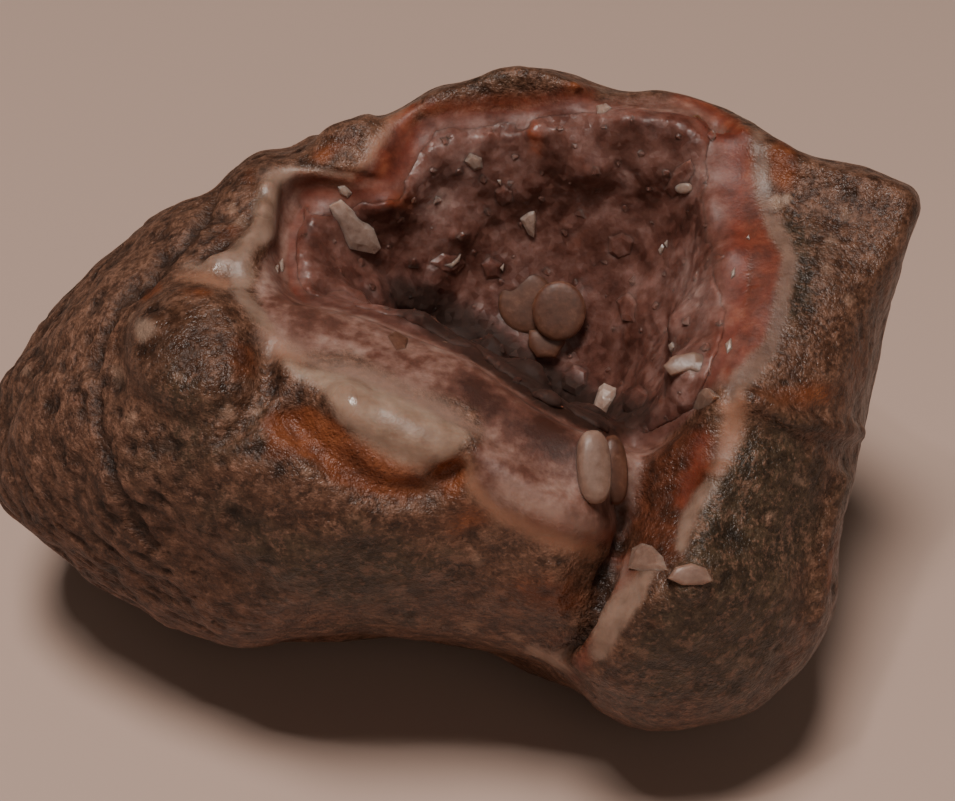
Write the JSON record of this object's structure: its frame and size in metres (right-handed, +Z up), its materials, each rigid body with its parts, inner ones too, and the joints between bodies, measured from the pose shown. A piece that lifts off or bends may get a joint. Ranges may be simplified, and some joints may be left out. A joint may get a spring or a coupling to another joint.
{
  "type": "agate nodule",
  "caption": "Tumbled agate nodule, broken open on its upper face over a hollow lined with small quartz crystals; rests on a small flat spot.",
  "frame": {"origin": "under the middle of the nodule's box, on the plane that it rests on", "axes": "+X along the nodule's length, towards its broad end; +Y away from the open face, so the hollow leans towards -Y and up; +Z up"},
  "size_m": [0.0608, 0.0443, 0.0395],
  "materials": {
    "agate": "polished, grey-brown with rust and white bands",
    "quartz": "glossy translucent mauve-brown crystals"
  },
  "bodies": {
    "root": {"agate_nodule": "agate", "quartz_crust": "quartz"}
  },
  "joints": []
}
